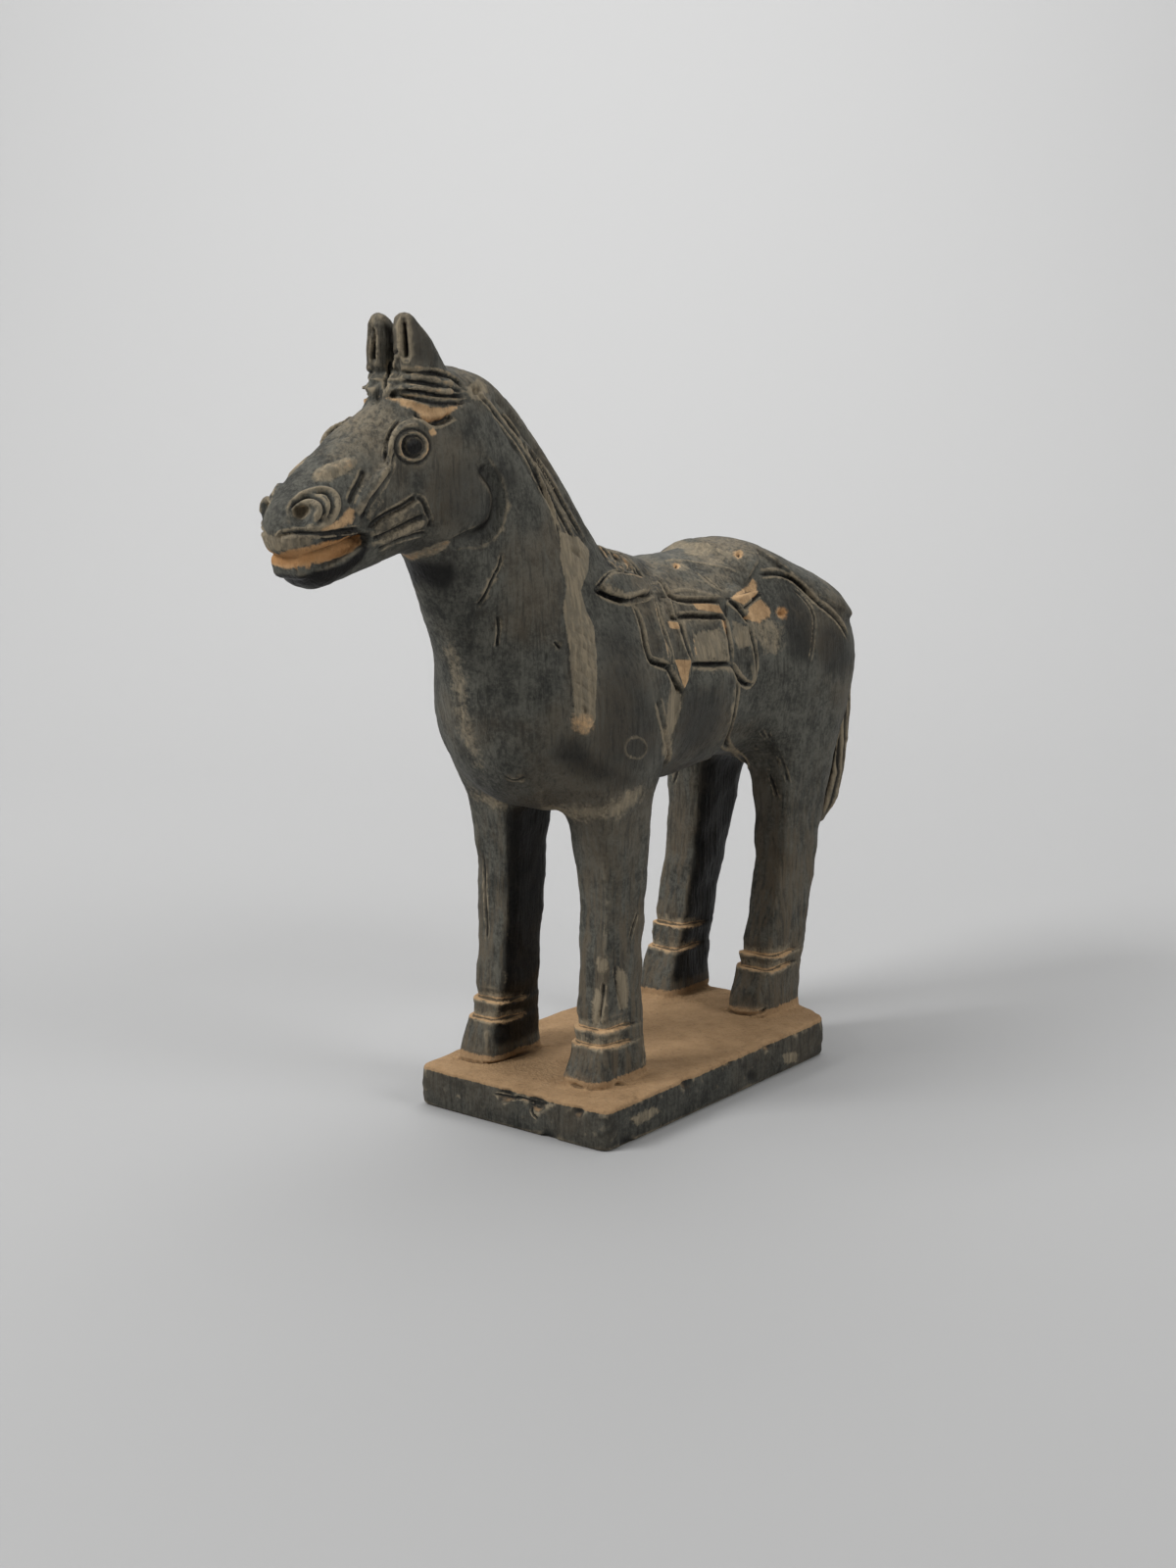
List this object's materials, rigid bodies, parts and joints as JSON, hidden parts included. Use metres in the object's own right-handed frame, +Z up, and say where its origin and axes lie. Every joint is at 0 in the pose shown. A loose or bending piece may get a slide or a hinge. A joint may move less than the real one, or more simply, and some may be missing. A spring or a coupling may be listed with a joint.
{
  "type": "pottery horse figure",
  "caption": "Standing saddled pottery horse in dark grey fired clay with ochre dust, joined by its hooves to its rectangular slab plinth.",
  "frame": {"origin": "middle of the plinth's flat underside", "axes": "+Z up, the horse faces -X, its left flank faces -Y"},
  "size_m": [0.3262, 0.086, 0.2796],
  "materials": {
    "fired_clay": "matt dark grey fired clay, hand tooled, with ochre earth dust in its hollows and on its upward faces"
  },
  "bodies": {
    "root": {"horse_on_plinth": "fired_clay"}
  },
  "joints": []
}
